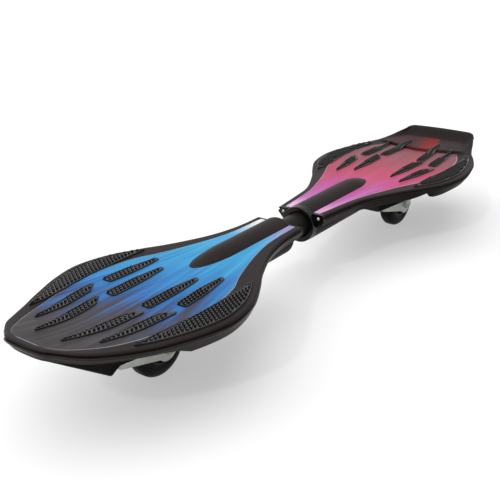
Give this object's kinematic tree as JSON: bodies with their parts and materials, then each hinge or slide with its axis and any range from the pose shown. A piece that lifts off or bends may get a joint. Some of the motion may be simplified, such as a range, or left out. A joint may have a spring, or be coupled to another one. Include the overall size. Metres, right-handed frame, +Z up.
{
  "type": "caster board",
  "caption": "Caster board: moulded footboards joined by a sprung torsion tube, each on an inclined swivel caster, with studded rubber grip pads.",
  "frame": {"origin": "on the ground, under the middle of the board's length and width", "axes": "+X from the nose to the tail, +Y across the board to the left when facing the tail, +Z up"},
  "size_m": [0.865, 0.229, 0.1173],
  "materials": {
    "deck_plastic": "moulded charcoal plastic, satin with a fine grain",
    "front_film": "printed film, glossy, grey-violet to cyan streaks",
    "rear_film": "printed film, glossy, lilac-pink to dark red streaks",
    "grip_rubber": "black rubber with small round studs",
    "black_steel": "black powder coat, satin",
    "cap_plastic": "black moulded cap, semi-gloss",
    "bush_plastic": "natural nylon",
    "zinc_steel": "zinc-plated pressed steel, faintly green-grey",
    "screw_steel": "bright plated steel",
    "tyre_pu": "black cast polyurethane, smooth",
    "hub_plastic": "black moulded nylon"
  },
  "bodies": {
    "front_footboard": {"front_ball_race": "zinc_steel", "front_bar_anchor": "zinc_steel", "front_cross_bolt": "zinc_steel", "front_deck": "deck_plastic", "front_kingpin": "zinc_steel", "front_kingpin_nut": "screw_steel", "front_pad_crescent_left": "grip_rubber", "front_pad_crescent_right": "grip_rubber", "front_pad_neck_inner_left": "grip_rubber", "front_pad_neck_inner_right": "grip_rubber", "front_pad_neck_outer_left": "grip_rubber", "front_pad_neck_outer_right": "grip_rubber", "front_pad_nose_inner_left": "grip_rubber", "front_pad_nose_inner_right": "grip_rubber", "front_pad_nose_outer_left": "grip_rubber", "front_pad_nose_outer_right": "grip_rubber", "front_panel": "front_film", "front_swivel_plate": "zinc_steel", "torsion_bar": "zinc_steel", "torsion_tube": "black_steel"},
    "rear_footboard": {"cap_screw_left": "screw_steel", "cap_screw_right": "screw_steel", "inner_bush": "bush_plastic", "neck_cap": "cap_plastic", "outer_bush": "bush_plastic", "rear_ball_race": "zinc_steel", "rear_bar_anchor": "zinc_steel", "rear_cross_bolt": "zinc_steel", "rear_deck": "deck_plastic", "rear_kingpin": "zinc_steel", "rear_kingpin_nut": "screw_steel", "rear_pad_crescent_left": "grip_rubber", "rear_pad_crescent_right": "grip_rubber", "rear_pad_neck_inner_left": "grip_rubber", "rear_pad_neck_inner_right": "grip_rubber", "rear_pad_neck_outer_left": "grip_rubber", "rear_pad_neck_outer_right": "grip_rubber", "rear_pad_tail_inner_left": "grip_rubber", "rear_pad_tail_inner_right": "grip_rubber", "rear_pad_tail_outer_left": "grip_rubber", "rear_pad_tail_outer_right": "grip_rubber", "rear_panel": "rear_film", "rear_swivel_plate": "zinc_steel"},
    "front_swivel": {"front_axle_bolt": "screw_steel", "front_axle_nut": "screw_steel", "front_bearing_spacer": "zinc_steel", "front_fork": "zinc_steel"},
    "front_wheel": {"front_bearing_left": "screw_steel", "front_bearing_right": "screw_steel", "front_tyre": "tyre_pu", "front_wheel_hub": "hub_plastic"},
    "rear_swivel": {"rear_axle_bolt": "screw_steel", "rear_axle_nut": "screw_steel", "rear_bearing_spacer": "zinc_steel", "rear_fork": "zinc_steel"},
    "rear_wheel": {"rear_bearing_left": "screw_steel", "rear_bearing_right": "screw_steel", "rear_tyre": "tyre_pu", "rear_wheel_hub": "hub_plastic"}
  },
  "joints": [
    {"name": "deck_twist", "type": "hinge", "parent": "front_footboard", "child": "rear_footboard", "pos_m": [0.0135, 0, 0.08453], "axis": [1, 0, 0], "range_deg": [-25, 25], "stiffness_Nm_per_rad": 40},
    {"name": "front_caster_swivel", "type": "hinge", "parent": "front_footboard", "child": "front_swivel", "pos_m": [-0.31065, 0, 0.06853], "axis": [-0.5, 0, 0.866], "continuous": true},
    {"name": "front_wheel_spin", "type": "hinge", "parent": "front_swivel", "child": "front_wheel", "pos_m": [-0.2635, 0, 0.03686], "axis": [0, 1, 0], "continuous": true},
    {"name": "rear_caster_swivel", "type": "hinge", "parent": "rear_footboard", "child": "rear_swivel", "pos_m": [0.22835, 0, 0.06853], "axis": [-0.5, 0, 0.866], "continuous": true},
    {"name": "rear_wheel_spin", "type": "hinge", "parent": "rear_swivel", "child": "rear_wheel", "pos_m": [0.2755, 0, 0.03686], "axis": [0, 1, 0], "continuous": true}
  ]
}
